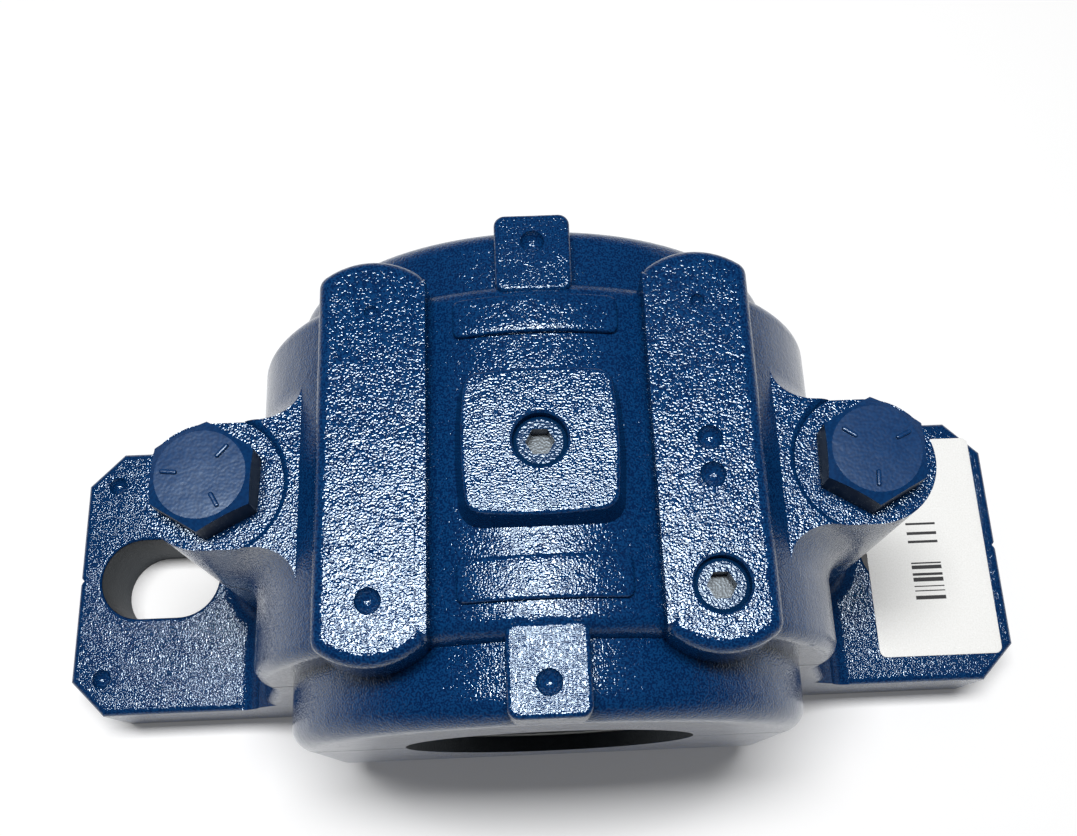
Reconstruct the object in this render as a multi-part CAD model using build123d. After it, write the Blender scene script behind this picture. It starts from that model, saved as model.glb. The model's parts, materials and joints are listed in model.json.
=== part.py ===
from build123d import *
import os
from math import cos, pi, radians, sin, sqrt, tan

# Split plummer block for an adapter-mounted spherical roller bearing.
# Millimetres.  Origin: middle of the machined base face.  +X runs along the base,
# +Y along the shaft towards the lock nut, +Z up.

# ------------------------------------------------------------------ housing, outside
base_length = 244.5
base_width = 69.85
foot_thickness = 23.8
foot_corner_chamfer = 8.8
foot_edge_radius = 1.6
centre_height = 69.85

slot_end_inset = 5.75          # from the end of the foot to the slot
slot_length = 31.0
slot_width = 21.0
slot_rim_radius = 0.8
corner_pip_inset_x = 8.0
corner_pip_inset_y = 9.2
end_notch_width = 2.4
end_notch_depth = 1.2

chamber_wall = 12.5            # iron outside the bearing seat
chamber_edge_radius = 3.0
flank_spread = 10.0            # how far each flank of the base leans out at the foot
flank_straight = 12.0          # upright part of the flank below the split
flank_flare = 5.5              # concave sweep where flank and foot meet

nose_length = 97.8             # over both end faces
nose_inset = 7.5               # nose narrower than the chamber, each side
nose_edge_radius = 5.0

crown_sink = 6.5               # panel between the ribs, sunk below the chamber round
crown_step = 4.3               # and standing above the nose
crown_end_radius = 4.0
crown_end_inset = 0.3          # crown ends stand back from the chamber ends
rib_inner_x = 21.0
rib_width = 20.5
rib_drop = 4.35                # flat rib top below the full chamber round
rib_end_bow = 4.0              # how far the arched rib ends stand past the chamber
rib_corner_radius = 3.0
rib_edge_radius = 2.4

pad_rise = 3.0                 # above the ribs
pad_length = 27.0
pad_width = 26.0
pad_side_bow = 0.9
pad_corner_radius = 3.2
pad_flare_angle = 12.0
pad_edge_radius = 0.8

tab_width = 15.0
tab_drop = 2.0                 # below the ribs
tab_inset = 0.3                # tab end stands back from the nose face
tab_corner_radius = 2.2
tab_draft_angle = 2.0
tab_edge_radius = 0.9

# ------------------------------------------------------------------ cap fastening
bolt_stand_off = 2.6           # bolt axis outside the chamber
bolt_diameter = 12.7
bolt_head_flats = 19.05
bolt_head_height = 8.3
bolt_head_slope = 0.577        # height over reach of the turned-off head corners
bolt_head_land = 0.8           # round top face stands inside the flats by this
bolt_head_turn = 2.0           # heads stopped this far off square
bolt_thread_in_base = 25.0
bolt_hole_clearance = 0.4
bolt_tip_chamfer = 1.5
tap_hole_run_out = 3.0
boss_radius = 13.0
boss_offset = 1.0              # boss axis outside the bolt axis
boss_web_radius = 7.0
boss_shoulder_drop = 17.6      # cast shoulder below the ribs
boss_lip_reach = 2.0           # width of the rounded fall from shoulder to seat
spotface_depth = 1.6
spotface_radius = 14.3

dowel_diameter = 6.35
dowel_length = 19.0
dowel_inset = 6.0              # dowel axis inside the chamber
dowel_y = 23.0
dowel_end_chamfer = 0.6
dowel_end_gap = 1.0

plug_radius = 5.15
plug_length = 7.0
plug_recess = 1.7
plug_edge_chamfer = 0.9
plug_socket_flats = 4.76
plug_socket_depth = 3.6
plug_mouth_chamfer = 0.4
lube_hole_radius = 2.6
side_plug_y = -27.0

pip_radius = 2.4
small_pip_radius = 1.4
pip_depth_share = 0.85
nose_pip_inset = 6.4
rib_pip_y = 27.6
twin_pip_gap = 7.0

# ------------------------------------------------------------------ cavity
chamber_inside_half = 28.6     # inside of each end wall, from the middle
shoulder_height = 5.0          # of the end walls beside the outer ring
seal_bore_radius = 30.8
labyrinth_depth = 5.2
labyrinth_groove_width = 3.2
labyrinth_pitch = 5.0
labyrinth_count = 3

# ------------------------------------------------------------------ bearing
outer_ring_radius = 50.0
bearing_width = 25.0
outer_wall = 5.0               # outer ring at the middle of its hollow inside
inner_wall = 4.487             # inner ring under the rollers
running_gap = 0.02
contact_angle = 9.5
roller_length = 9.6
roller_profile_relief = 1.5    # roller profile rounder than the races
roller_edge_radius = 0.4
roller_pitch_gap = 2.0         # least gap between neighbouring rollers
ring_edge_radius = 1.0
lube_groove_width = 6.0
lube_groove_depth = 1.0
lube_ring_hole_radius = 1.5
lube_ring_hole_count = 3
cage_offset = 0.6              # inside of the cage band, outward of the roller axis
cage_thickness = 1.8
cage_pocket_gap = 0.15
cage_rim = 0.9
cage_middle_gap = 0.9          # each cage stands this far from the middle plane
guide_ring_width = 1.2
guide_ring_gap = 0.1
guide_ring_height = 3.4
stabilizer_width = 9.5
stabilizer_height = 6.8
stabilizer_opening = 50.0      # degrees left open in the ring

# ------------------------------------------------------------------ adapter set
shaft_radius = 24.6
taper_on_diameter = 12.0
small_bore_radius = 27.5       # inner ring bore at the nut side
sleeve_front_reach = 3.8
sleeve_slit = 2.6
thread_radius = 27.3
nut_radius = 37.6
nut_width = 12.8
nut_slot_count = 4
nut_slot_width = 9.0
nut_slot_depth = 3.4
nut_edge_chamfer = 1.2
nut_collar_radius = 33.6
nut_collar_height = 1.0
sleeve_past_nut = 2.2
washer_thickness = 1.3
washer_rim_radius = 33.6
washer_tab_radius = 37.2
washer_tab_count = 15
washer_tab_width = 5.0
washer_tongue_gap = 0.1

# ------------------------------------------------------------------ seals
seal_gap = 0.45                # labyrinth running gap
seal_ridge_width = 1.8
seal_length = 16.0
seal_shaft_gap = 0.05
cord_groove_width = 4.4
cord_groove_gap = 0.05         # between the cord and the bottom of its groove
cord_radius = 1.75

# ------------------------------------------------------------------ worked-out places
half_width = base_width / 2
nose_half = nose_length / 2
chamber_radius = outer_ring_radius + chamber_wall
crown_radius = chamber_radius - crown_sink
nose_half_width = chamber_radius - nose_inset
nose_rise = crown_radius - crown_step
rib_top = centre_height + chamber_radius - rib_drop
pad_top = rib_top + pad_rise
tab_top = rib_top - tab_drop
boss_shoulder = rib_top - boss_shoulder_drop
spotface_height = boss_shoulder - spotface_depth
bolt_x = chamber_radius + bolt_stand_off
boss_x = bolt_x + boss_offset
dowel_x = chamber_radius - dowel_inset
slot_x = base_length / 2 - slot_end_inset - slot_length / 2
rib_outer_x = rib_inner_x + rib_width
rib_mid_x = rib_inner_x + rib_width / 2
crown_wall_z = centre_height + sqrt(crown_radius ** 2 - rib_inner_x ** 2)
shoulder_radius = outer_ring_radius - shoulder_height
seat_half = (bearing_width + stabilizer_width) / 2
ring_front_y = -seat_half
ring_back_y = ring_front_y + bearing_width
bearing_y = (ring_front_y + ring_back_y) / 2
taper_slope = 1 / (2 * taper_on_diameter)
race_radius = outer_ring_radius - outer_wall
race_low_r = small_bore_radius + bearing_width * taper_slope / 2 + inner_wall
inner_reach = race_low_r / cos(radians(contact_angle))
roller_radius = (race_radius - inner_reach) / 2 - running_gap
roller_reach = race_radius - running_gap - roller_radius
roller_r = roller_reach * cos(radians(contact_angle))
roller_y = roller_reach * sin(radians(contact_angle))
roller_count = int(2 * pi * roller_r / (2 * roller_radius + roller_pitch_gap))
race_centre_r = (inner_reach + race_radius) * cos(radians(contact_angle))
race_centre_y = (inner_reach + race_radius) * sin(radians(contact_angle))
seal_middle_y = (chamber_inside_half + nose_half) / 2 - 1.4
washer_back_y = ring_back_y + washer_thickness
nut_back_y = washer_back_y + nut_width
on_axis = Pos(0, 0, centre_height)


def mirrored(shape):
    """A shape and its mirror image across the middle of the base."""
    return shape + mirror(shape, Plane.YZ)


def along_shaft(outline, half_length):
    """Extrude an upright XZ outline equally to the front and to the back."""
    return extrude(Plane.XZ * outline, half_length, both=True)


def lathe(points):
    """Turn a closed list of (radius, y) points about the shaft axis."""
    return on_axis * revolve(make_face(Polyline(*points, close=True)), Axis.Y)


def disc(radius, y_from, y_to, inner=0.0):
    """A plain disc or ring about the shaft axis between two stations."""
    return lathe([(inner, y_from), (radius, y_from), (radius, y_to), (inner, y_to)])


def upright(radius, z_from, z_to, x=0.0, y=0.0):
    """An upright cylinder between two heights."""
    return Pos(x, y, z_from) * extrude(Circle(radius), z_to - z_from)


def pip(radius, x, y, top):
    """Shallow round dimple drilled into a face at the given height."""
    depth = radius * pip_depth_share
    ball = (radius ** 2 + depth ** 2) / (2 * depth)
    return Pos(x, y, top + ball - depth) * Sphere(ball)


# ================================================================== housing castings
def web_sweep():
    """Radius of the hollow between bolt column and chamber, kept inside the width."""
    return min(boss_web_radius, (half_width - boss_radius) / 2)


def column_plan():
    """Bolt column from above: round outside, with a hollow sweep to the chamber."""
    sweep = web_sweep()
    sweep_x = chamber_radius + sweep
    sweep_y = sqrt((boss_radius + sweep) ** 2 - (sweep_x - boss_x) ** 2)
    web = make_face(
        Polyline(
            (rib_mid_x, sweep_y),
            (sweep_x, sweep_y),
            (boss_x, 0),
            (sweep_x, -sweep_y),
            (rib_mid_x, -sweep_y),
            close=True,
        )
    )
    for side in (-1, 1):
        web -= Pos(sweep_x, side * sweep_y) * Circle(sweep)
    return web + Pos(boss_x, 0) * Circle(boss_radius)


def foot_slot(side, height):
    """One through slot of the foot, cut up to the given height."""
    return Pos(side * slot_x, 0, 0) * extrude(SlotOverall(slot_length, slot_width), height)


def foot_plate():
    """Foot with chamfered corners, eased top edge, slotted holes, pips and end notches."""
    plan = chamfer(Rectangle(base_length, base_width).vertices(), foot_corner_chamfer)
    plate = extrude(plan, foot_thickness)
    plate = fillet(plate.faces().sort_by(Axis.Z)[-1].edges(), foot_edge_radius)
    for side in (-1, 1):
        plate -= foot_slot(side, foot_thickness)
    top = plate.faces().sort_by(Axis.Z)[-1]
    plate = fillet([edge for rim in top.inner_wires() for edge in rim.edges()], slot_rim_radius)
    for side in (-1, 1):
        notch = Polyline(
            (side * base_length / 2, -end_notch_width / 2),
            (side * (base_length / 2 - end_notch_depth), 0),
            (side * base_length / 2, end_notch_width / 2),
            close=True,
        )
        plate -= extrude(make_face(notch), foot_thickness)
        for end in (-1, 1):
            pip_x = side * (base_length / 2 - corner_pip_inset_x)
            plate -= pip(pip_radius, pip_x, end * (half_width - corner_pip_inset_y), foot_thickness)
    return plate


def base_chamber():
    """Lower chamber block: upright at the split, leaning flanks, flared onto the foot."""
    knee = centre_height - flank_straight
    foot_x = chamber_radius + flank_spread
    lean = flank_spread / (knee - foot_thickness)
    outline = make_face(
        Polyline(
            (0, 0),
            (foot_x + flank_flare, 0),
            (foot_x + flank_flare, foot_thickness),
            (foot_x - lean * flank_flare, foot_thickness + flank_flare),
            (chamber_radius, knee),
            (chamber_radius, centre_height),
            (0, centre_height),
            close=True,
        )
    )
    hollow = Pos(foot_x + flank_flare, foot_thickness + flank_flare) * Circle(flank_flare)
    outline -= hollow
    block = mirrored(along_shaft(outline, half_width))
    ends = block.edges().filter_by(
        lambda e: abs(abs(e.center().Y) - half_width) < 0.01
        and e.center().Z > foot_thickness + flank_flare
        and abs(e.center().X) > chamber_radius / 2
        and e.center().Z < centre_height - 0.5
    )
    return fillet(ends, chamber_edge_radius)


def base_column():
    """Bolt column of the base on the +X side, with a swept skirt onto the foot."""
    column = Pos(0, 0, foot_thickness) * extrude(column_plan(), centre_height - foot_thickness)
    return column + Pos(boss_x, 0) * lathe_upright(boss_radius, flank_flare, foot_thickness)


def lathe_upright(radius, sweep, z):
    """A hollow-cornered skirt round the foot of an upright cylinder."""
    reach = radius + sweep
    block = Pos(reach / 2, z) * Rectangle(reach, 2 * sweep)
    block -= Pos(reach, z + sweep) * Circle(sweep)
    return revolve(Plane.XZ * block, Axis.Z)


def nose_block(z_from, z_to):
    """Straight-sided part of the nose with rounded upright corners."""
    plan = RectangleRounded(2 * nose_half_width, nose_length, nose_edge_radius)
    return Pos(0, 0, z_from) * extrude(plan, z_to - z_from)


def nose_height_at(x):
    """Height of the arched nose at a distance from the middle."""
    arch_radius = (nose_half_width ** 2 + nose_rise ** 2) / (2 * nose_rise)
    return centre_height + nose_rise - arch_radius + sqrt(arch_radius ** 2 - x ** 2)


def cap_nose():
    """Arched top of the nose with a rounded rim at each end."""
    arch = make_face(
        ThreePointArc(
            (-nose_half_width, centre_height),
            (0, centre_height + nose_rise),
            (nose_half_width, centre_height),
        )
        + Line((nose_half_width, centre_height), (-nose_half_width, centre_height))
    )
    nose = along_shaft(arch, nose_half)
    rims = nose.edges().filter_by(
        lambda e: abs(e.center().Y) > nose_half - 0.01
        and e.center().Z > centre_height + 1
    )
    return fillet(rims, nose_edge_radius)


def cap_chamber():
    """Half-round chamber of the cap, flat on top under the ribs, rounded end edges."""
    outline = Pos(0, centre_height) * Circle(chamber_radius)
    outline -= Pos(0, centre_height - chamber_radius) * Rectangle(2 * chamber_radius, 2 * chamber_radius)
    outline -= Pos(0, rib_top + chamber_radius) * Rectangle(2 * chamber_radius, 2 * chamber_radius)
    chamber = along_shaft(outline, half_width)
    rims = chamber.edges().filter_by(
        lambda e: abs(abs(e.center().Y) - half_width) < 0.01
        and e.geom_type == GeomType.CIRCLE
    )
    return fillet(rims, chamber_edge_radius)


def rib():
    """Arched rib on the +X side: flat top, bowed ends, eased edges."""
    corner = half_width
    plan = make_face(
        Line((rib_inner_x, -corner), (rib_inner_x, corner))
        + ThreePointArc((rib_inner_x, corner), (rib_mid_x, corner + rib_end_bow), (rib_outer_x, corner))
        + Line((rib_outer_x, corner), (rib_outer_x, -corner))
        + ThreePointArc((rib_outer_x, -corner), (rib_mid_x, -corner - rib_end_bow), (rib_inner_x, -corner))
    )
    foot = nose_height_at(rib_outer_x) - 1
    block = Pos(0, 0, foot) * extrude(plan, rib_top - foot)
    block = fillet(block.edges().filter_by(Axis.Z), rib_corner_radius)
    return fillet(block.faces().sort_by(Axis.Z)[-1].edges(), rib_edge_radius)


def crown_foot():
    """Height, inside the nose, down to which the sunk crown reaches."""
    return crown_wall_z - crown_step - 2


def crown_lane():
    """The space between the ribs, cleared before the sunk crown is put in."""
    tall = chamber_radius
    lane = Pos(0, crown_foot() + 1 + tall / 2) * Rectangle(2 * rib_inner_x, tall)
    return along_shaft(lane, half_width + 1)


def crown():
    """Sunk crown between the ribs, rounded at both ends."""
    side_x = rib_inner_x + rib_corner_radius
    lane = Pos(0, crown_foot() + crown_radius / 2) * Rectangle(2 * side_x, crown_radius)
    half = half_width - crown_end_inset
    body = along_shaft((Pos(0, centre_height) * Circle(crown_radius)) & lane, half)
    ends = body.edges().filter_by(
        lambda e: e.geom_type == GeomType.CIRCLE
        and abs(abs(e.center().Y) - half) < 0.01
    )
    return fillet(ends, crown_end_radius)


def centre_pad():
    """Raised pad round the middle plug: bowed sides, flared down onto the crown."""
    x = pad_length / 2
    y = pad_width / 2
    plan = make_face(
        ThreePointArc((-x, -y), (0, -y - pad_side_bow), (x, -y))
        + ThreePointArc((x, -y), (x + pad_side_bow, 0), (x, y))
        + ThreePointArc((x, y), (0, y + pad_side_bow), (-x, y))
        + ThreePointArc((-x, y), (-x - pad_side_bow, 0), (-x, -y))
    )
    plan = fillet(plan.vertices(), pad_corner_radius)
    tall = pad_top - crown_wall_z + 1
    pad = Pos(0, 0, pad_top) * extrude(plan, tall, dir=(0, 0, -1), taper=-pad_flare_angle)
    return fillet(pad.faces().sort_by(Axis.Z)[-1].edges(), pad_edge_radius)


def cast_tab(side):
    """Upright tab on the nose at the front (-1) or back (+1)."""
    length = nose_half - tab_inset - half_width + 3
    middle = nose_half - tab_inset - length / 2
    foot = nose_height_at(tab_width) - 1
    plan = Pos(0, side * middle) * RectangleRounded(tab_width, length, tab_corner_radius)
    tab = Pos(0, 0, tab_top) * extrude(plan, tab_top - foot, dir=(0, 0, -1), taper=-tab_draft_angle)
    tab = fillet(tab.faces().sort_by(Axis.Z)[-1].edges(), tab_edge_radius)
    return tab - pip(pip_radius, 0, side * (nose_half - nose_pip_inset), tab_top)


def bolt_boss():
    """Bolt boss of the cap on the +X side, up to the cast shoulder."""
    plan = Pos((rib_mid_x + boss_x) / 2, 0) * Rectangle(boss_x - rib_mid_x, 2 * boss_radius)
    plan += Pos(boss_x, 0) * Circle(boss_radius)
    return Pos(0, 0, centre_height) * extrude(plan, boss_shoulder - centre_height)


def bossed_chamber():
    """Chamber with both bolt bosses and the hollow sweeps between them."""
    body = cap_chamber() + mirrored(bolt_boss())
    corners = body.edges().filter_by(
        lambda e: e.geom_type == GeomType.CIRCLE
        and abs(abs(e.center().Y) - boss_radius) < 0.01
        and rib_outer_x < abs(e.center().X) < chamber_radius
        and centre_height + 1 < e.center().Z < boss_shoulder - 1
    )
    return fillet(corners, web_sweep())


def spotface(side):
    """Machined seat for the bolt head, sunk below the rounded lip of the cast shoulder."""
    lip_z = boss_shoulder + 0.1
    lip_r = spotface_radius + boss_lip_reach
    rise = lip_z - spotface_height
    seat = (spotface_radius, spotface_height)
    outline = make_face(
        Polyline(seat, (0, spotface_height), (0, pad_top), (lip_r, pad_top), (lip_r, lip_z))
        + ThreePointArc((lip_r, lip_z), (seat[0] + boss_lip_reach / 3, seat[1] + rise * 3 / 4), seat)
    )
    return Pos(side * bolt_x, 0) * revolve(Plane.XZ * outline, Axis.Z)


def groove_middle(side, groove):
    """Place along the shaft of one labyrinth groove at the front (-1) or back (+1)."""
    return side * (seal_middle_y + (groove - (labyrinth_count - 1) / 2) * labyrinth_pitch)


def bearing_cavity():
    """Everything bored on the shaft axis: seat, grease space, seal bores, labyrinths."""
    cavity = disc(outer_ring_radius, -seat_half, seat_half)
    cavity += disc(shoulder_radius, -chamber_inside_half, chamber_inside_half)
    cavity += disc(seal_bore_radius, -nose_half, nose_half)
    for side in (-1, 1):
        for groove in range(labyrinth_count):
            front = groove_middle(side, groove) - labyrinth_groove_width / 2
            cavity += disc(seal_bore_radius + labyrinth_depth, front, front + labyrinth_groove_width)
    return cavity


def dowel_holes():
    reach = dowel_length / 2 + dowel_end_gap
    places = [(-dowel_x, dowel_y), (dowel_x, -dowel_y)]
    low = centre_height - reach
    return [upright(dowel_diameter / 2, low, low + 2 * reach, x, y) for x, y in places]


def plug_hole(x, y, top):
    """Threaded plug hole with an eased mouth and a grease passage into the chamber."""
    mouth = plug_radius + plug_mouth_chamfer
    outline = [
        (0, centre_height),
        (lube_hole_radius, centre_height),
        (lube_hole_radius, top - plug_recess - plug_length),
        (plug_radius, top - plug_recess - plug_length),
        (plug_radius, top - plug_mouth_chamfer),
        (mouth, top),
        (mouth, top + plug_mouth_chamfer),
        (0, top + plug_mouth_chamfer),
    ]
    return Pos(x, y) * revolve(Plane.XZ * make_face(Polyline(*outline, close=True)), Axis.Z)


def housing_base():
    body = foot_plate() + base_chamber() + nose_block(foot_thickness, centre_height)
    body += mirrored(base_column())
    body -= bearing_cavity()
    for hole in dowel_holes():
        body -= hole
    floor = spotface_height - bolt_grip() - tap_hole_run_out
    for side in (-1, 1):
        body -= foot_slot(side, foot_thickness + flank_flare)
        body -= upright(bolt_diameter / 2, floor, centre_height, side * bolt_x)
    return body


def housing_cap():
    cap = bossed_chamber() - crown_lane()
    cap += cap_nose()
    cap += mirrored(rib())
    cap += crown()
    cap += centre_pad()
    for side in (-1, 1):
        cap += cast_tab(side)
    for side in (-1, 1):
        cap -= spotface(side)
        cap -= upright(bolt_diameter / 2 + bolt_hole_clearance, centre_height, pad_top, side * bolt_x)
        cap -= pip(small_pip_radius, side * rib_mid_x, rib_pip_y, rib_top)
    cap -= pip(pip_radius, -rib_mid_x, -rib_pip_y, rib_top)
    for step in (0, 1):
        cap -= pip(pip_radius, rib_mid_x, -step * twin_pip_gap, rib_top)
    cap -= bearing_cavity()
    cap -= plug_hole(0, 0, pad_top)
    cap -= plug_hole(rib_mid_x, side_plug_y, rib_top)
    for hole in dowel_holes():
        cap -= hole
    return cap


# ================================================================== fasteners
def bolt_grip():
    """Length of a cap bolt below its head."""
    return spotface_height - centre_height + bolt_thread_in_base


def cap_bolt(side):
    """Hexagon-head bolt, seated on its spot face."""
    hexagon = RegularPolygon(bolt_head_flats / sqrt(3), 6, rotation=30 - bolt_head_turn)
    head = extrude(hexagon, bolt_head_height)
    flat_r = bolt_head_flats / 2 - bolt_head_land
    wide_r = flat_r + bolt_head_height / bolt_head_slope
    head &= Pos(0, 0, bolt_head_height / 2) * Cone(wide_r, flat_r, bolt_head_height)
    shank = Pos(0, 0, -bolt_grip()) * extrude(Circle(bolt_diameter / 2), bolt_grip())
    shank = chamfer(shank.faces().sort_by(Axis.Z)[0].edges(), bolt_tip_chamfer)
    return Pos(side * bolt_x, 0, spotface_height) * (head + shank)


def dowel_pin(x, y):
    pin = Pos(x, y, centre_height - dowel_length / 2) * extrude(Circle(dowel_diameter / 2), dowel_length)
    return chamfer(pin.edges().filter_by(GeomType.CIRCLE), dowel_end_chamfer)


def pipe_plug(x, y, top):
    """Flush plug with a hexagon socket."""
    plug = Pos(0, 0, -plug_length) * extrude(Circle(plug_radius), plug_length)
    plug = chamfer(plug.faces().sort_by(Axis.Z)[-1].edges(), plug_edge_chamfer)
    socket = RegularPolygon(plug_socket_flats / sqrt(3), 6)
    plug -= Pos(0, 0, -plug_socket_depth) * extrude(socket, plug_socket_depth)
    return Pos(x, y, top - plug_recess) * plug


# ================================================================== bearing
def outer_ring():
    ring = disc(outer_ring_radius, ring_front_y, ring_back_y)
    ring = fillet(ring.edges().filter_by(GeomType.CIRCLE), ring_edge_radius)
    ring -= Pos(0, bearing_y, centre_height) * Sphere(race_radius)
    floor = outer_ring_radius - lube_groove_depth
    half = lube_groove_width / 2
    ring -= disc(outer_ring_radius + 1, bearing_y - half, bearing_y + half, floor)
    drill = Pos(0, bearing_y, centre_height) * extrude(Circle(lube_ring_hole_radius), outer_ring_radius)
    for step in range(lube_ring_hole_count):
        ring -= drill.rotate(Axis((0, 0, centre_height), (0, 1, 0)), step * 360 / lube_ring_hole_count)
    return ring


def stabilizing_ring():
    """Flat C-shaped ring beside the outer ring, open at the bottom."""
    ring = disc(outer_ring_radius, ring_back_y, seat_half, outer_ring_radius - stabilizer_height)
    reach = 2 * outer_ring_radius
    half_open = reach * tan(radians(stabilizer_opening / 2))
    wedge = make_face(
        Polyline(
            (0, centre_height),
            (-half_open, centre_height - reach),
            (half_open, centre_height - reach),
            close=True,
        )
    )
    return ring - along_shaft(wedge, seat_half + 1)


def roller_blank():
    """Barrel roller lying on the shaft direction, centred on the origin."""
    half = roller_length / 2
    profile = race_radius - roller_profile_relief
    waist = profile - sqrt(profile ** 2 - half ** 2)
    end_radius = roller_radius - waist
    edge = roller_edge_radius
    outline = make_face(
        Polyline((0, half), (0, -half), (end_radius - edge, -half), (end_radius, -half + edge))
        + ThreePointArc((end_radius, -half + edge), (roller_radius, 0), (end_radius, half - edge))
        + Line((end_radius, half - edge), (end_radius - edge, half))
        + Line((end_radius - edge, half), (0, half))
    )
    return revolve(outline, Axis.Y)


def at_roller(side, step):
    """Place of one roller in the front (-1) or back (+1) row."""
    turn = (step + (0.5 if side > 0 else 0)) * 360 / roller_count
    tilt = Pos(0, side * roller_y, roller_r) * Rot(-side * contact_angle, 0, 0)
    return Pos(0, bearing_y, centre_height) * Rot(0, turn, 0) * tilt


def roller_row(side):
    blank = roller_blank()
    return [at_roller(side, step) * blank for step in range(roller_count)]


def bore_radius_at(y):
    """Tapered bore of the inner ring at a station along the shaft."""
    return small_bore_radius + (ring_back_y - y) * taper_slope


def inner_ring():
    """Inner ring with a tapered bore and two hollow raceways."""
    half = bearing_width / 2
    end_r = race_centre_r - sqrt(race_radius ** 2 - (half - race_centre_y) ** 2)
    mid_r = race_centre_r - sqrt(race_radius ** 2 - race_centre_y ** 2)
    low_r = race_centre_r - race_radius * cos(radians(contact_angle))
    low_y = race_centre_y - race_radius * sin(radians(contact_angle))
    outline = make_face(
        Line((bore_radius_at(ring_front_y), ring_front_y), (end_r, ring_front_y))
        + ThreePointArc((end_r, ring_front_y), (low_r, bearing_y - low_y), (mid_r, bearing_y))
        + ThreePointArc((mid_r, bearing_y), (low_r, bearing_y + low_y), (end_r, ring_back_y))
        + Line((end_r, ring_back_y), (bore_radius_at(ring_back_y), ring_back_y))
        + Line((bore_radius_at(ring_back_y), ring_back_y), (bore_radius_at(ring_front_y), ring_front_y))
    )
    return on_axis * revolve(outline, Axis.Y)


def cage(side):
    """Window cage of one row: a cone-shaped band with a pocket for each roller."""
    near = cage_middle_gap
    far = roller_y + roller_length / 2 + cage_rim
    slope = tan(radians(contact_angle))

    def band(y):
        return roller_r + cage_offset - (y - roller_y) * slope

    outline = [
        (band(near), bearing_y + side * near),
        (band(near) + cage_thickness, bearing_y + side * near),
        (band(far) + cage_thickness, bearing_y + side * far),
        (band(far), bearing_y + side * far),
    ]
    body = lathe(outline)
    half = roller_length / 2 + cage_pocket_gap
    window = Rot(90, 0, 0) * extrude(Circle(roller_radius + cage_pocket_gap), half, both=True)
    for step in range(roller_count):
        body -= at_roller(side, step) * window
    return body


def guide_ring():
    """Plain ring between the two rows, running on the inner ring."""
    inside = race_centre_r - sqrt(race_radius ** 2 - race_centre_y ** 2) + guide_ring_gap
    half = guide_ring_width / 2
    return disc(inside + guide_ring_height, bearing_y - half, bearing_y + half, inside)


# ================================================================== adapter set
def adapter_sleeve():
    """Slit sleeve, tapered to fit the inner ring, threaded end for the lock nut."""
    front_y = ring_front_y - sleeve_front_reach
    back_y = nut_back_y + sleeve_past_nut
    outline = [
        (shaft_radius, front_y),
        (bore_radius_at(front_y), front_y),
        (bore_radius_at(ring_back_y), ring_back_y),
        (thread_radius, ring_back_y),
        (thread_radius, back_y),
        (shaft_radius, back_y),
    ]
    sleeve = lathe(outline)
    reach = 2 * thread_radius
    gap = extrude(Rectangle(sleeve_slit, back_y - front_y + 2), reach)
    slit = Pos(0, (front_y + back_y) / 2, centre_height) * gap
    return sleeve - slit


def tab_washer():
    """Thin washer with outer tabs for the nut slots and a tongue in the sleeve slit."""
    washer = disc(washer_rim_radius, ring_back_y, washer_back_y, thread_radius)
    tab_from = washer_rim_radius - 1
    tab = Pos(0, washer_back_y, centre_height + (tab_from + washer_tab_radius) / 2) * (
        Plane.XZ * Rectangle(washer_tab_width, washer_tab_radius - tab_from)
    )
    tab = extrude(tab, washer_thickness, dir=(0, -1, 0))
    for step in range(washer_tab_count):
        washer += tab.rotate(Axis((0, 0, centre_height), (0, 1, 0)), step * 360 / washer_tab_count)
    tongue_in = shaft_radius + 0.6
    tongue = Pos(0, washer_back_y, centre_height + (tongue_in + thread_radius + 1) / 2) * (
        Plane.XZ * Rectangle(sleeve_slit - 2 * washer_tongue_gap, thread_radius + 1 - tongue_in)
    )
    return washer + extrude(tongue, washer_thickness, dir=(0, -1, 0))


def lock_nut():
    """Round nut with spanner slots and a raised face towards the washer."""
    nut = disc(nut_radius, washer_back_y + nut_collar_height, nut_back_y, thread_radius)
    rims = nut.edges().filter_by(GeomType.CIRCLE).filter_by(lambda e: e.radius > nut_radius - 0.1)
    nut = chamfer(rims, nut_edge_chamfer)
    nut += disc(nut_collar_radius, washer_back_y, washer_back_y + nut_collar_height, thread_radius)
    bottom = nut_radius - nut_slot_depth
    slot = Pos(0, nut_back_y, centre_height + bottom + nut_slot_depth) * (
        Plane.XZ * Rectangle(nut_slot_width, 2 * nut_slot_depth)
    )
    slot = extrude(slot, nut_width, dir=(0, -1, 0))
    for step in range(nut_slot_count):
        nut -= slot.rotate(Axis((0, 0, centre_height), (0, 1, 0)), step * 360 / nut_slot_count)
    return nut


# ================================================================== seals
def seal_ring(side):
    """Ridged seal ring that turns with the shaft inside the labyrinth grooves."""
    front = side * seal_middle_y - seal_length / 2
    inner = shaft_radius + seal_shaft_gap
    ring = disc(seal_bore_radius - seal_gap, front, front + seal_length, inner)
    for groove in range(labyrinth_count):
        ridge_from = groove_middle(side, groove) - seal_ridge_width / 2
        tip = seal_bore_radius + labyrinth_depth - seal_gap
        ring += disc(tip, ridge_from, ridge_from + seal_ridge_width, inner)
    groove_from = side * seal_middle_y - cord_groove_width / 2
    groove_floor = shaft_radius + 2 * cord_radius + cord_groove_gap
    return ring - disc(groove_floor, groove_from, groove_from + cord_groove_width)


def seal_cord(side):
    """Round rubber cord between the seal ring and the shaft."""
    centre = shaft_radius + cord_radius
    cord = Pos(centre, side * seal_middle_y) * Circle(cord_radius)
    return on_axis * revolve(cord, Axis.Y)


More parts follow.
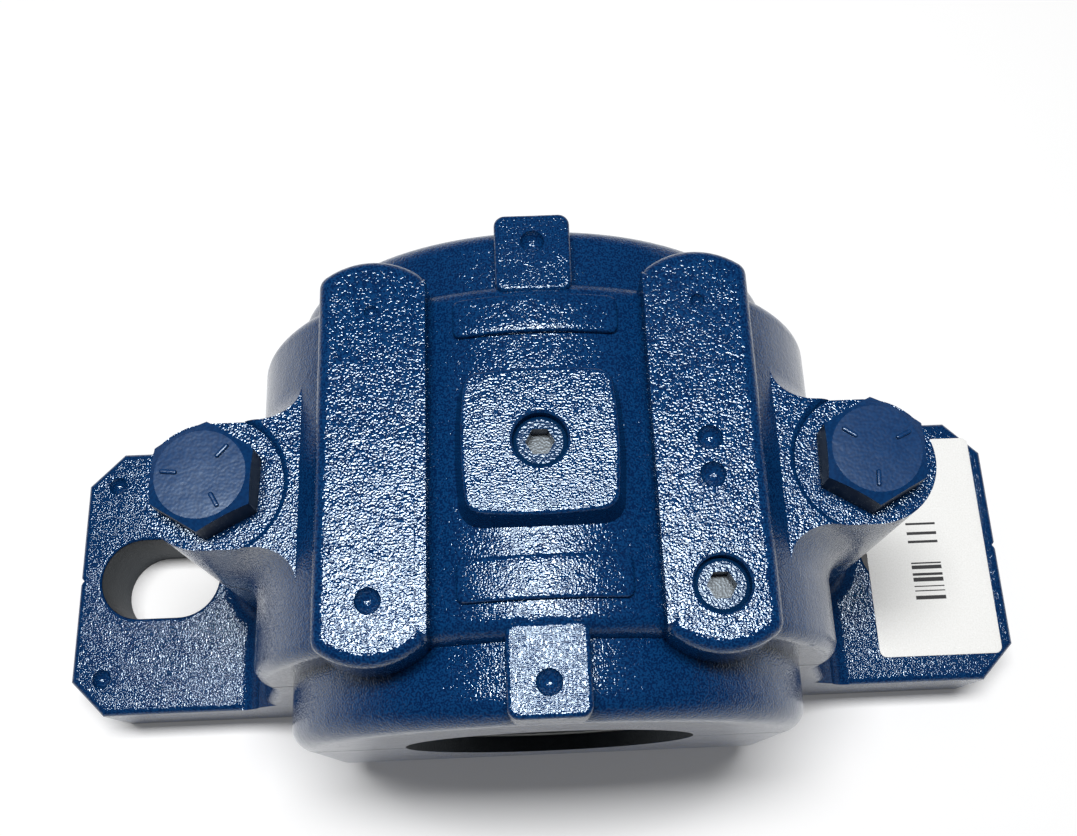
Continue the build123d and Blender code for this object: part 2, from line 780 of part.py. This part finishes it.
# ================================================================== all pieces
def solids_of(shape):
    """Flatten one shape or a list of shapes into a compound of solids."""
    items = shape if isinstance(shape, list) else [shape]
    return Compound(children=[solid for item in items for solid in item.solids()])


pieces = {
    "housing_base": housing_base(),
    "housing_cap": housing_cap(),
    "cap_bolts": [cap_bolt(-1), cap_bolt(1)],
    "dowel_pins": [dowel_pin(-dowel_x, dowel_y), dowel_pin(dowel_x, -dowel_y)],
    "pipe_plugs": [pipe_plug(0, 0, pad_top), pipe_plug(rib_mid_x, side_plug_y, rib_top)],
    "outer_ring": outer_ring(),
    "stabilizing_ring": stabilizing_ring(),
    "inner_ring": inner_ring(),
    "roller_row_front": roller_row(-1),
    "roller_row_back": roller_row(1),
    "cage_front": cage(-1),
    "cage_back": cage(1),
    "guide_ring": guide_ring(),
    "adapter_sleeve": adapter_sleeve(),
    "tab_washer": tab_washer(),
    "lock_nut": lock_nut(),
    "seal_ring_front": seal_ring(-1),
    "seal_ring_back": seal_ring(1),
    "seal_cord_front": seal_cord(-1),
    "seal_cord_back": seal_cord(1),
}

os.makedirs("parts", exist_ok=True)
for name, shape in pieces.items():
    export_step(solids_of(shape), "parts/" + name + ".step")
    print(name, round(solids_of(shape).volume, 1))
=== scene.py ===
# %% [markdown]
# # Dressing a split plummer block
# A plummer block carries a turning shaft in a cast-iron housing that opens at the shaft's height.
# The solid model already has every true shape, so this scene gives the castings their enamel,
# the inner pieces their metals, and adds what is too thin for the solid model: the paper
# label, the blank cast tablets and the raised strokes on the bolt heads.
# The solid pieces are loaded first and never moved, so everything else takes its place from them.

# %% Load the solid model
import bmesh
import bpy
import json
import math
import numpy as np
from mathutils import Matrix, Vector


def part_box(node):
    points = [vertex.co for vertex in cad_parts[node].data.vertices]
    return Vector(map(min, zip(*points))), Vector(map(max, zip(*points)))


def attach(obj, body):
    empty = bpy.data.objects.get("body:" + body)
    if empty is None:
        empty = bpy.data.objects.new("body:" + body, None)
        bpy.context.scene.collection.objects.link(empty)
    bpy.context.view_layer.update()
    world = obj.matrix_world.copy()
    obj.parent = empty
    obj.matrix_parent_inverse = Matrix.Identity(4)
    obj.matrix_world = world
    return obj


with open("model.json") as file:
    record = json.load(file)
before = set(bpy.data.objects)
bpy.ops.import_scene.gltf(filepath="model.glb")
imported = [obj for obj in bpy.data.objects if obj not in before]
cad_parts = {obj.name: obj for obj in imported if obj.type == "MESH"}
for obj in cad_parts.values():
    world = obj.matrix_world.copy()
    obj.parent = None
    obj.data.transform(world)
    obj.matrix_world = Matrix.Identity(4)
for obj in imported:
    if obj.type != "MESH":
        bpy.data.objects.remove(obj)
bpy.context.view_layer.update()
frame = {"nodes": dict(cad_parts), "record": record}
nodes = frame["nodes"]
print("solid pieces:", len(nodes))

# %% [markdown]
# ## Units and colours
# Blender works in metres and in linear light. A maker thinks in millimetres and in the hex colours
# of a paint card, so two small values keep the numbers readable: `MM` turns millimetres to metres,
# and one function turns a hex colour to linear light. A size is in millimetres unless it says metres.

# %% Millimetres and paint-card colours
MM = 0.001


def paint_card(code):
    """Linear RGBA of an sRGB hex colour: each channel c becomes ((c + 0.055) / 1.055) ^ 2.4."""
    channels = np.array([int(code[i:i + 2], 16) for i in (1, 3, 5)]) / 255
    linear = np.where(channels < 0.04045, channels / 12.92, ((channels + 0.055) / 1.055) ** 2.4)
    return (*linear.tolist(), 1.0)


print("enamel in linear light:", [round(c, 3) for c in paint_card("#0b3a6a")])

# %% [markdown]
# ## A helper for material nodes
# A material is a small graph of nodes. One function adds any node, gives its settings, and
# wires its inputs. A value that is a socket becomes a link; any other value is typed straight into
# the socket, which keeps constants where an exporter can find them. The nodes that every finish
# needs again, such as a noise of a real size or a relief of a real height, get a short name each.


# %% One function that adds a node
def add(tree, kind, settings=None, **inputs):
    """Add a node of the given kind; settings are its options, inputs its sockets by name or number."""
    node = tree.nodes.new(kind)
    for name, value in (settings or {}).items():
        setattr(node, name, value)
    for name, value in inputs.items():
        key = int(name[1:]) if name[0] == "_" and name[1:].isdigit() else name.replace("_", " ")
        if isinstance(value, bpy.types.NodeSocket):
            tree.links.new(value, node.inputs[key])
        else:
            node.inputs[key].default_value = value
    return node


def new_material(name):
    """An empty material with its output node."""
    material = bpy.data.materials.new(name)
    material.use_nodes = True
    material.node_tree.nodes.clear()
    output = material.node_tree.nodes.new("ShaderNodeOutputMaterial")
    return material, material.node_tree, output


def stops(ramp_node, pairs):
    """Set a colour ramp's stops from (place, colour) pairs."""
    ramp = ramp_node.color_ramp
    while len(ramp.elements) < len(pairs):
        ramp.elements.new(0.5)
    for element, (place, colour) in zip(ramp.elements, pairs):
        element.position = place
        element.color = colour
    return ramp_node


# %% Short names for the nodes that come back in every finish
def maths(tree, operation, *values):
    """The result of a Math node over one to three numbers or sockets."""
    inputs = {f"_{number}": value for number, value in enumerate(values)}
    return add(tree, "ShaderNodeMath", {"operation": operation}, **inputs).outputs["Value"]


def noise(tree, place, size_mm, detail):
    """A noise whose cells are size_mm wide: its scale is one over that size in metres."""
    cells = add(tree, "ShaderNodeTexNoise", Vector=place, Scale=1 / (size_mm * MM), Detail=detail)
    return cells.outputs["Fac"]


def relief(tree, height, rise_mm, **under):
    """A bump that rises rise_mm while the height goes from 0 to 1, on top of the Normal under it."""
    bump = add(tree, "ShaderNodeBump", Height=height, Strength=1.0, Distance=rise_mm * MM, **under)
    return bump.outputs["Normal"]


def spread(tree, value, low, high, **source):
    """The value's range, 0 to 1 or From_Min to From_Max, stretched to run from low to high."""
    return add(tree, "ShaderNodeMapRange", Value=value, To_Min=low, To_Max=high, **source).outputs["Result"]


def blend(tree, mask, under, over):
    """One colour where the mask is 0, and the other where it is 1."""
    return add(tree, "ShaderNodeMix", {"data_type": "RGBA"}, _0=mask, _6=under, _7=over).outputs[2]


def drift(tree, value, pairs):
    """A colour that drifts through (place, colour) pairs as the value grows."""
    return stops(add(tree, "ShaderNodeValToRGB", Fac=value), pairs).outputs["Color"]


def shade(tree, output, **looks):
    """Wire a Principled shader with the given looks to the material's output."""
    shader = add(tree, "ShaderNodeBsdfPrincipled", **looks)
    tree.links.new(shader.outputs["BSDF"], output.inputs["Surface"])


print("helpers ready")

# %% [markdown]
# ## Enamel over sand-cast iron
# Grey iron is poured into damp sand, and its skin keeps the print of the grains. The block is then
# dipped in a gloss alkyd enamel, which rounds the grains over without hiding them. Three patterns
# make that: grains of about a third of a millimetre, lumps of about 1 mm where grains stuck
# together, and slow waves of 6 mm where the mould yielded. They drive a bump, not the mesh, because
# the highest rises less than a fifth of a millimetre. A light makes a spray of tiny white sparks on
# them. The colour deepens where the enamel has pooled between the grains, and the gloss drifts a
# little from patch to patch. The forged bolts get the same finish with a far lower relief, because
# forging leaves no print of sand.
# Hard alkyd enamel has an IOR near 1.6, so the shader is a plain dielectric. The straight-on glints
# have a slight blue tint, and the grazing ones stay white.
#
# Three places on the castings get another colour than the gloss enamel. Inside the shaft bores the
# iron is machined and unpainted, and its colour is near-black as painted shade of the deep bore: a
# mask reads the distance from the shaft axis. The walls of the foot slots get a near-black, matt
# colour as painted shade: a mask reads the place. And at the split the two castings have broken
# edges, which read as one thin dark line all round: a mask reads the height. On the bolts the
# upright flats get a dark, matt colour as painted shade: that mask reads which way the surface faces.


# %% Masks for the bored inside and the foot slots
SPLIT_HEIGHT = 69.85
# Each bored step, as (radius from the axis, half its length along the shaft), a little oversize.
BORED_STEPS = [(36.4, 48.85), (45.2, 28.7), (50.2, 17.4)]
# Half sizes of a foot slot and its middle along the foot. It is a little oversize in plan, and
# ends just under the foot's top, so that the enamel reaches the rim.
FOOT_SLOT = {"middle_x": 101.0, "half_length": 15.8, "half_width": 10.8, "half_height": 23.3}


def axis_reach(tree, place):
    """Distance from the shaft axis: the length of (x, z - split height)."""
    centred = add(tree, "ShaderNodeMapping", Vector=place, Location=(0, 0, -SPLIT_HEIGHT * MM))
    parts = add(tree, "ShaderNodeSeparateXYZ", Vector=centred.outputs["Vector"])
    flat = add(tree, "ShaderNodeCombineXYZ", X=parts.outputs["X"], Y=parts.outputs["Z"])
    reach = add(tree, "ShaderNodeVectorMath", {"operation": "LENGTH"}, _0=flat.outputs["Vector"])
    return reach.outputs["Value"], parts


def within(tree, value, middle_mm, half_mm):
    """1 where the value lies within half of the middle, else 0."""
    return maths(tree, "COMPARE", value, middle_mm * MM, half_mm * MM)


def every(tree, mask, *others):
    """1 where all the masks are 1: their product."""
    for other in others:
        mask = maths(tree, "MULTIPLY", mask, other)
    return mask


def either(tree, mask, *others):
    """1 where at least one of the masks is 1: the largest of them."""
    for other in others:
        mask = maths(tree, "MAXIMUM", mask, other)
    return mask


def bored_mask(tree, reach, parts):
    """1 inside any of the bored steps: reach < radius and |y| < half length."""
    steps = [every(tree, within(tree, reach, 0, radius), within(tree, parts.outputs["Y"], 0, half))
             for radius, half in BORED_STEPS]
    return either(tree, *steps)


# The foot slot walls inside this mask get a near-black, matt colour as painted shade.
def slot_mask(tree, parts):
    """1 inside the two foot slots: ||x| - middle| < half length, |y| < half width, z under the top."""
    wide = maths(tree, "ABSOLUTE", parts.outputs["X"])
    along = within(tree, wide, FOOT_SLOT["middle_x"], FOOT_SLOT["half_length"])
    across = within(tree, parts.outputs["Y"], 0, FOOT_SLOT["half_width"])
    low = within(tree, parts.outputs["Z"], -SPLIT_HEIGHT, FOOT_SLOT["half_height"])
    return every(tree, along, across, low)


print("masks ready")


# %% Where the castings and the bolts get another colour: unpainted iron, painted shade and the split line
SPLIT_LINE_HALF = 0.45
UPRIGHT = 0.35


def casting_bare_and_shade(tree, place):
    """1 in the shaft bores (unpainted, made near-black as painted shade), in the foot slots (painted shade)
    and along the split.
    """
    reach, parts = axis_reach(tree, place)
    split = within(tree, parts.outputs["Z"], 0, SPLIT_LINE_HALF)
    # The bores are unpainted iron darkened as painted shade, the slot walls are painted shade, and the split
    # is a dark line.
    return either(tree, bored_mask(tree, reach, parts), split, slot_mask(tree, parts))


def flats_painted_shade(tree, _):
    """1 on upright flats, which get painted shade, where the z of the face's direction is between -UPRIGHT
    and UPRIGHT.
    """
    facing = add(tree, "ShaderNodeTexCoord").outputs["Normal"]
    return maths(tree, "COMPARE", add(tree, "ShaderNodeSeparateXYZ", Vector=facing).outputs["Z"], 0, UPRIGHT)


print("bare places ready")


# %% The sand-cast enamel
ENAMEL_IOR = 1.6
GLINT = paint_card("#def0ff")
LUMP_SIZE, WAVE_SIZE, PATCH_SIZE = 1.1, 6, 18
GLOSS_DRIFT = 0.05
# A noise seldom leaves the middle of its range, so what follows it is stretched over that middle.
MIDDLE = {"From_Min": 0.3, "From_Max": 0.7}


def sand_cast_enamel(name, colour, pooled, grain_size, grain_rise, lump_rise, wave_rise, gloss, unglossed):
    """Gloss enamel on a sand-cast skin; sizes and rises are real millimetres.

    unglossed is (mask function, colour, roughness) for the places that get another colour: unpainted metal,
    painted shade and the dark split line.
    """
    material, tree, output = new_material(name)
    place = add(tree, "ShaderNodeTexCoord").outputs["Object"]
    grains = noise(tree, place, grain_size, 0)
    lumps = noise(tree, place, LUMP_SIZE, 1)
    waves = noise(tree, place, WAVE_SIZE, 2)
    patches = noise(tree, place, PATCH_SIZE, 2)
    enamel = drift(tree, grains, [(0.38, paint_card(pooled)), (0.62, paint_card(colour))])
    sheen = spread(tree, patches, gloss, gloss + GLOSS_DRIFT, **MIDDLE)
    find_bare_and_shade, bare_and_shade_colour, bare_and_shade_roughness = unglossed
    mask = find_bare_and_shade(tree, place)
    slow = relief(tree, waves, wave_rise)
    middle = relief(tree, lumps, lump_rise, Normal=slow)
    fine = relief(tree, grains, grain_rise, Normal=middle)
    # Where the mask is 1 the enamel gives way to the other colour: unpainted metal, painted shade and the
    # dark split line.
    shade(tree, output, Base_Color=blend(tree, mask, enamel, paint_card(bare_and_shade_colour)), IOR=ENAMEL_IOR,
          Specular_Tint=GLINT, Roughness=spread(tree, mask, sheen, bare_and_shade_roughness), Normal=fine)
    print(name, "grains", grain_size, "mm")
    return material


# Its unpainted bores get near-black #131417 as painted shade of the deep bore, its foot slot walls the same
# near-black as painted shade, and its split line is dark.
housing_enamel = sand_cast_enamel("blue enamel on sand-cast iron", "#0b3a6a", "#04224c", grain_size=0.36,
                                  grain_rise=0.086, lump_rise=0.05, wave_rise=0.18, gloss=0.07,
                                  unglossed=(casting_bare_and_shade, "#131417", 0.6))
# On the bolts, #071528 darkens the upright flats as painted shade.
bolt_enamel = sand_cast_enamel("blue enamel on forged steel", "#0b3767", "#082f5c", grain_size=0.6,
                               grain_rise=0.012, lump_rise=0.012, wave_rise=0.06, gloss=0.2,
                               unglossed=(flats_painted_shade, "#071528", 0.5))

# %% [markdown]
# ## Enamel plug with a bare socket
# The two grease plugs were painted in place. Paint doesn't reach the bottom of the hexagon socket,
# so the steel shows there. The height tells which is which: what lies a little over 3 mm below the
# plug's face, or deeper, is bare. The two faces differ in height, so the test is made for each plug.


# %% The plug's enamel and bare steel
# Heights of the left and the right plug's face, the x between the plugs, and where the steel starts.
PLUG_FACES = (129.3, 126.3)
PLUG_DIVIDE = 15
BARE_DEPTH = 3.2
SCRATCH_SIZE = 0.4
SCRATCH_RISE = 0.07


def plug_finish(name):
    """Enamel above and bare steel below a depth under each plug's face, split by height and by x."""
    material, tree, output = new_material(name)
    place = add(tree, "ShaderNodeTexCoord").outputs["Object"]
    parts = add(tree, "ShaderNodeSeparateXYZ", Vector=place)
    scratches = noise(tree, place, SCRATCH_SIZE, 0)
    right_plug = maths(tree, "GREATER_THAN", parts.outputs["X"], PLUG_DIVIDE * MM)
    left_limit, right_limit = ((face - BARE_DEPTH) * MM for face in PLUG_FACES)
    limit = spread(tree, right_plug, left_limit, right_limit)
    unglossed = maths(tree, "LESS_THAN", parts.outputs["Z"], limit)
    tint = blend(tree, unglossed, paint_card("#0a3058"), paint_card("#5f6264"))
    worn = spread(tree, unglossed, 0.1, 0.5)
    shade(tree, output, Base_Color=tint, Specular_Tint=GLINT, Roughness=spread(tree, scratches, worn, 0.2),
          Normal=relief(tree, scratches, SCRATCH_RISE))
    print(name)
    return material


plug_enamel = plug_finish("blue enamel plug, bare socket")

# %% [markdown]
# ## Metals inside
# Bearing steel is ground, so it is bright with very fine rings; sheet steel is duller and a little
# mottled; turned steel shows the tool's path as rings about the shaft. All of these are the same
# idea: a metal whose roughness and height follow a stretched noise. The noise is stretched
# round the shaft by reading the distance from the axis and the place along it, which are the
# two things that stay the same all the way round a turned ring.


# %% Turned, ground and pressed metals
STAIN_SIZE = 9
STAIN_SHADE = 0.78


def turned_metal(name, colour, roughness, ring_mm, relief_mm):
    """A metal with tool rings about the shaft: noise over (distance from the axis, place along it)."""
    material, tree, output = new_material(name)
    place = add(tree, "ShaderNodeTexCoord").outputs["Object"]
    reach, parts = axis_reach(tree, place)
    lane = add(tree, "ShaderNodeCombineXYZ", X=reach, Y=parts.outputs["Y"]).outputs["Vector"]
    rings = noise(tree, lane, ring_mm, 3)
    stain = noise(tree, place, STAIN_SIZE, 3)
    clean = paint_card(colour)
    stained = (*[channel * STAIN_SHADE for channel in clean[:3]], 1.0)
    tint = drift(tree, stain, [(0.3, stained), (0.7, clean)])
    dull = spread(tree, rings, roughness * 0.8, roughness * 1.25, **MIDDLE)
    shade(tree, output, Base_Color=tint, Metallic=1.0, Roughness=dull, Normal=relief(tree, rings, relief_mm))
    print(name)
    return material


metals = {
    "race_steel": turned_metal("ground bearing steel", "#b9bcbe", 0.20, 0.3, 0.004),
    "roller_steel": turned_metal("lapped bearing steel", "#c4c7c9", 0.14, 0.3, 0.002),
    "cage_steel": turned_metal("pressed sheet steel", "#8d8f8c", 0.42, 1.2, 0.02),
    "turned_steel": turned_metal("turned steel", "#a3a6a8", 0.32, 0.4, 0.012),
    "pin_steel": turned_metal("ground dowel steel", "#a9adb0", 0.25, 0.3, 0.004),
    "sleeve_steel": turned_metal("turned steel, oiled", "#8f9396", 0.28, 0.5, 0.012),
    "washer_steel": turned_metal("punched sheet steel", "#9a9c9b", 0.38, 0.8, 0.01),
    "nut_steel": turned_metal("blackened turned steel", "#6b6e70", 0.36, 0.5, 0.014),
    "seal_aluminium": turned_metal("turned aluminium", "#c2c4c3", 0.34, 0.5, 0.014),
}

# %% [markdown]
# ## Nitrile rubber
# The seal cords are moulded nitrile rubber: black, matt, with a faint bloom of talc from storage.


# %% The cord rubber
TALC_SIZE = 2
TALC_RISE = 0.01


def moulded_rubber(name, colour, bloom):
    """Matt rubber whose colour drifts towards a pale bloom with a noise of the talc's size."""
    material, tree, output = new_material(name)
    place = add(tree, "ShaderNodeTexCoord").outputs["Object"]
    talc = noise(tree, place, TALC_SIZE, 4)
    tint = drift(tree, talc, [(0.45, paint_card(colour)), (0.8, paint_card(bloom))])
    shade(tree, output, Base_Color=tint, Roughness=0.62, Normal=relief(tree, talc, TALC_RISE))
    print(name)
    return material


cord_rubber = moulded_rubber("moulded nitrile rubber", "#191919", "#3a3a39")

# %% [markdown]
# ## Give every solid piece its finish
# The record says which finish each piece has. The castings and inner pieces keep their true meshes,
# so their materials are simply swapped for the ones made above.

# %% Assign the finishes
finishes = {"housing_enamel": housing_enamel, "bolt_enamel": bolt_enamel, "plug_enamel": plug_enamel,
            "cord_rubber": cord_rubber, **metals}
for entry in frame["record"]["subparts"]:
    nodes[entry["node"]].data.materials[0] = finishes[entry["material_slot"]]

# %% [markdown]
# ## Slabs with rounded corners
# The label, the cast tablets and the bolt-head strokes are all low slabs: a rounded rectangle
# with some height. Each is worked out as rings. One parameter goes round the rectangle and
# the other goes from the middle of the underside, out to the rim, up, over the eased edge
# and back to the middle of the top, so the slab is closed. Adding the height of what it sits on,
# point by point, bends it onto a curved place.


# %% A closed slab from rings
MERGE_DISTANCE = 1e-7  # metres


def rounded_rectangle(length, width, corner, along, arc):
    """Outline points as (centre of the near corner circle, outward direction), each (n, 2).

    Each corner gives arc points on a quarter circle, and each side gives along points between
    two corners, so that a long side can bend. A point is centre + corner * direction.
    """
    x, y = length / 2 - corner, width / 2 - corner
    middles = np.array([(x, y), (-x, y), (-x, -y), (x, -y)])
    centres, directions = [], []
    for quarter in range(4):
        turn = (quarter + np.linspace(0, 1, arc)) * np.pi / 2
        here, after = middles[quarter], middles[(quarter + 1) % 4]
        step = np.linspace(0, 1, along + 2)[1:-1, None]
        centres += [np.repeat(here[None], arc, axis=0), here + (after - here) * step]
        heading = np.stack([np.cos(turn), np.sin(turn)], axis=1)
        directions += [heading, np.repeat(heading[-1:], along, axis=0)]
    return np.concatenate(centres), np.concatenate(directions)


def slab_points(length, width, height, corner, edge, along=12, arc=5):
    """Points (rings, around, 3) of a closed slab.

    A ring is scale * centre + (corner - inset) * direction at some height. Over the eased edge
    inset = edge (1 - cos a) and height = h - edge (1 - sin a); inside it, scale falls to nothing.
    """
    centre, direction = rounded_rectangle(length, width, corner, along, arc)
    a = np.linspace(0, np.pi / 2, 4)
    scale = np.concatenate([[0, 0.5, 1, 1], np.ones(4), [1, 0.75, 0.5, 0.25, 0]])
    inset = np.concatenate([[corner, corner, corner, 0], edge * (1 - np.cos(a)), np.full(5, corner)])
    rise = np.concatenate([np.zeros(4), height - edge * (1 - np.sin(a)), np.full(5, height)])
    flat = scale[:, None, None] * centre + (corner - inset)[:, None, None] * direction
    tall = np.repeat(rise[:, None, None], len(centre), axis=1)
    return np.concatenate([flat, tall], axis=2)


def tidy_mesh(mesh):
    """Merge the points that meet at the two middles, turn faces outwards and shade them smooth."""
    edit = bmesh.new()
    edit.from_mesh(mesh)
    bmesh.ops.remove_doubles(edit, verts=edit.verts, dist=MERGE_DISTANCE)
    bmesh.ops.recalc_face_normals(edit, faces=edit.faces)
    edit.to_mesh(mesh)
    edit.free()
    mesh.shade_smooth()


def ring_mesh(name, points, material, body="housing"):
    """Make a mesh of rings: neighbours on a ring and on the next ring are joined by quads."""
    count, around = points.shape[:2]
    ring, step = np.meshgrid(np.arange(count - 1), np.arange(around), indexing="ij")
    after = (step + 1) % around
    low, high = ring * around, (ring + 1) * around
    corners = [low + step, low + after, high + after, high + step]
    faces = np.stack(corners, axis=2).reshape(-1, 4)
    mesh = bpy.data.meshes.new(name)
    mesh.from_pydata(points.reshape(-1, 3).tolist(), [], faces.tolist())
    merged = bpy.data.objects.new(name, mesh)
    bpy.context.scene.collection.objects.link(merged)
    tidy_mesh(mesh)
    mesh.materials.append(material)
    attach(merged, body)
    print(name, "has", len(mesh.polygons), "faces")


# %% [markdown]
# ## Blank cast tablets
# A foundry puts its lettering on raised tablets that are loose pieces of the pattern. Here they
# stay blank: one before and one behind the middle pad, bent to the crown, with the same skin.

# %% Tablets on the crown
CROWN_RADIUS = 56.0
TABLET = {"height": 1.7, "corner": 1.6, "edge": 0.5}
TABLET_SINK = 0.3
# Each tablet, as (name, place along the shaft, length, width).
TABLETS = [("tablet_front", -24.2, 32.0, 8.0), ("tablet_back", 26.8, 32.0, 7.8)]


def crown_height(x):
    """Height of the crown, a cylinder about the shaft: axis + sqrt(R^2 - x^2)."""
    return SPLIT_HEIGHT + np.sqrt(CROWN_RADIUS ** 2 - x ** 2)


for name, middle_y, length, width in TABLETS:
    points = slab_points(length, width, **TABLET)
    points[..., 1] += middle_y
    points[..., 2] += crown_height(points[..., 0]) - TABLET_SINK
    ring_mesh(name, points * MM, housing_enamel)

# %% [markdown]
# ## Strokes on the bolt heads
# A bolt's strength grade is shown by short raised strokes that point to the middle of the head.
# They are forged in one blow and painted over with the rest.

# %% Three strokes on each head
STROKE = {"length": 3.4, "width": 0.9, "height": 0.75, "corner": 0.4, "edge": 0.3}
STROKE_REACH = 6.0
STROKE_SINK = 0.2
# Each head, as (name, place along the foot, turns of its strokes in degrees).
HEADS = [("left", -65.1, (48, 174, 300)), ("right", 65.1, (25, 145, 265))]
_, bolt_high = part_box("cap_bolts")
head_top = bolt_high.z / MM

for side, middle_x, turns in HEADS:
    for number, degrees in enumerate(turns, start=1):
        points = slab_points(**STROKE, along=3, arc=3)
        outward, across = points[..., 0] + STROKE_REACH, points[..., 1]
        cos, sin = math.cos(math.radians(degrees)), math.sin(math.radians(degrees))
        x = outward * cos - across * sin + middle_x
        y = outward * sin + across * cos
        points = np.stack([x, y, points[..., 2] + head_top - STROKE_SINK], axis=2)
        ring_mesh(f"grade_stroke_{side}_{number}", points * MM, bolt_enamel)

# %% [markdown]
# ## The paper label
# A plain white paper label lies over the right foot and bridges its slot. Its paper is a quarter
# of a millimetre thick with its glue, and it carries nothing but ten plain bars.
# The bars are drawn by the material: a stripe pattern along the label's length, kept to a
# short band across it.


# %% Label paper with plain bars
# Each bar, as (its middle along the label, half its width), and the band that the bars fill across it.
BARS = [(6.5, 0.3), (3.9, 0.4), (1.6, 0.35), (-4.2, 0.2), (-5.3, 0.5), (-7.2, 0.35), (-8.6, 0.55),
        (-10.4, 0.15), (-11.6, 0.15), (-13.4, 0.5)]
BAND = (98.5, 106.5)
FIBRE_SIZE = 0.4
FIBRE_RISE = 0.01


def label_paper(name):
    """White paper; a bar shows where x is inside the band and y is inside one of the bars."""
    material, tree, output = new_material(name)
    place = add(tree, "ShaderNodeTexCoord").outputs["Object"]
    parts = add(tree, "ShaderNodeSeparateXYZ", Vector=place)
    fibres = noise(tree, place, FIBRE_SIZE, 4)
    low, high = BAND
    band = within(tree, parts.outputs["X"], (low + high) / 2, (high - low) / 2)
    ink = either(tree, *[within(tree, parts.outputs["Y"], middle, half) for middle, half in BARS])
    sheet = drift(tree, fibres, [(0.3, paint_card("#eeeeeb")), (0.7, paint_card("#fafaf8"))])
    tint = blend(tree, every(tree, ink, band), sheet, paint_card("#26262a"))
    shade(tree, output, Base_Color=tint, Roughness=0.6, Normal=relief(tree, fibres, FIBRE_RISE))
    print(name, "with", len(BARS), "bars")
    return material


paper = label_paper("white label paper")

# %% Lay the label on the foot
FOOT_TOP = 23.8
LABEL = {"length": 32.0, "width": 58.8, "height": 0.22, "corner": 1.8, "edge": 0.08}
LABEL_MIDDLE = (103.0, 0.9)
GLUE = 0.02

points = slab_points(**LABEL) + [*LABEL_MIDDLE, FOOT_TOP + GLUE]
ring_mesh("paper_label", points * MM, paper)

# %% [markdown]
# ## The floor
# A pale matt floor. The camera, and the gloss that mirrors it, see it a little brighter than it is,
# which makes the background white without putting any more light on the block. Far from the block
# the camera sees it grow to full white, so that a low view has no grey edge where the floor ends.

# %% Floor
# In metres: half its side, its drop under the block, and where it starts and ends to turn white.
FLOOR_HALF = 3.0
FLOOR_DROP = 0.0002
FADE_FROM, FADE_TO = 0.5, 1.6
FLOOR_GLOW = 0.08

floor_material, tree, output = new_material("pale studio floor")
ray = add(tree, "ShaderNodeLightPath").outputs
diffuse = add(tree, "ShaderNodeBsdfDiffuse", Color=paint_card("#fbfbfb"))
near = maths(tree, "MULTIPLY", either(tree, ray["Is Camera Ray"], ray["Is Glossy Ray"]), FLOOR_GLOW)
place = add(tree, "ShaderNodeTexCoord").outputs["Object"]
distance = add(tree, "ShaderNodeVectorMath", {"operation": "LENGTH"}, _0=place).outputs["Value"]
fade = spread(tree, distance, 0, 1, From_Min=FADE_FROM, From_Max=FADE_TO)
far = maths(tree, "MULTIPLY", ray["Is Camera Ray"], fade)
glow = add(tree, "ShaderNodeEmission", Strength=either(tree, near, far))
lit_and_glow = add(tree, "ShaderNodeAddShader", _0=diffuse.outputs["BSDF"], _1=glow.outputs["Emission"])
tree.links.new(lit_and_glow.outputs["Shader"], output.inputs["Surface"])

floor_mesh = bpy.data.meshes.new("floor")
rim = [(x * FLOOR_HALF, y * FLOOR_HALF, 0) for x, y in ((-1, -1), (1, -1), (1, 1), (-1, 1))]
floor_mesh.from_pydata(rim, [], [(0, 1, 2, 3)])
floor_mesh.materials.append(floor_material)
floor = bpy.data.objects.new("floor", floor_mesh)
bpy.context.scene.collection.objects.link(floor)
floor.location.z = -FLOOR_DROP
print("floor laid")

# %% [markdown]
# ## Light
# A long ceiling panel hangs overhead and a little behind the block. It gives the white sparkle on
# the near half of the flat tops, and throws a short shadow towards the viewer. The world fills the
# rest softly. The camera sees it white, and gloss mirrors it as a room with grey walls and a nearly
# black ceiling.

# %% Ceiling panel
panel = bpy.data.lights.new("ceiling panel", "AREA")
panel.shape = "RECTANGLE"
panel.size = 0.55
panel.size_y = 0.15
panel.energy = 11.8
panel_object = bpy.data.objects.new("ceiling panel", panel)
panel_object.location = (-0.05, 0.088, 1.12)
panel_object.rotation_euler = (math.radians(-5), 0, 0)
bpy.context.scene.collection.objects.link(panel_object)
print("panel hung")

# %% The room
ROOM_FILL = 0.11
WALLS, CEILING = 0.4, 0.03

world = bpy.data.worlds.new("studio")
bpy.context.scene.world = world
world.use_nodes = True
tree = world.node_tree
tree.nodes.clear()
ray = add(tree, "ShaderNodeLightPath").outputs
direction = add(tree, "ShaderNodeTexCoord").outputs["Generated"]
up = add(tree, "ShaderNodeSeparateXYZ", Vector=direction).outputs["Z"]
mirrored = spread(tree, up, WALLS, CEILING, From_Min=0.03, From_Max=0.25)
fill = maths(tree, "MULTIPLY", ray["Is Diffuse Ray"], ROOM_FILL)
mirror = maths(tree, "MULTIPLY", ray["Is Glossy Ray"], mirrored)
strength = either(tree, fill, mirror, ray["Is Camera Ray"])
room = add(tree, "ShaderNodeBackground", Color=(1, 1, 1, 1), Strength=strength)
output = tree.nodes.new("ShaderNodeOutputWorld")
tree.links.new(room.outputs["Background"], output.inputs["Surface"])
print("lit")

# %% [markdown]
# ## Camera
# The block is seen from above and a little in front, close enough that the cap looks large against
# the foot. The turn about the view axis is the small tilt of a hand-held camera.

# %% Camera
camera = bpy.data.cameras.new("camera")
camera.sensor_width = 36.0
camera.lens = 39.198
camera.shift_x = -0.01375
camera.shift_y = -0.02157
camera.clip_start = 0.01
camera_object = bpy.data.objects.new("camera", camera)
camera_object.location = (-1.645 * MM, -65.575 * MM, 332.79 * MM)
camera_object.rotation_euler = [math.radians(a) for a in (20.141, -0.369, -2.399)]
bpy.context.scene.collection.objects.link(camera_object)
bpy.context.scene.camera = camera_object
bpy.context.scene.view_settings.view_transform = "Standard"
print("camera set")
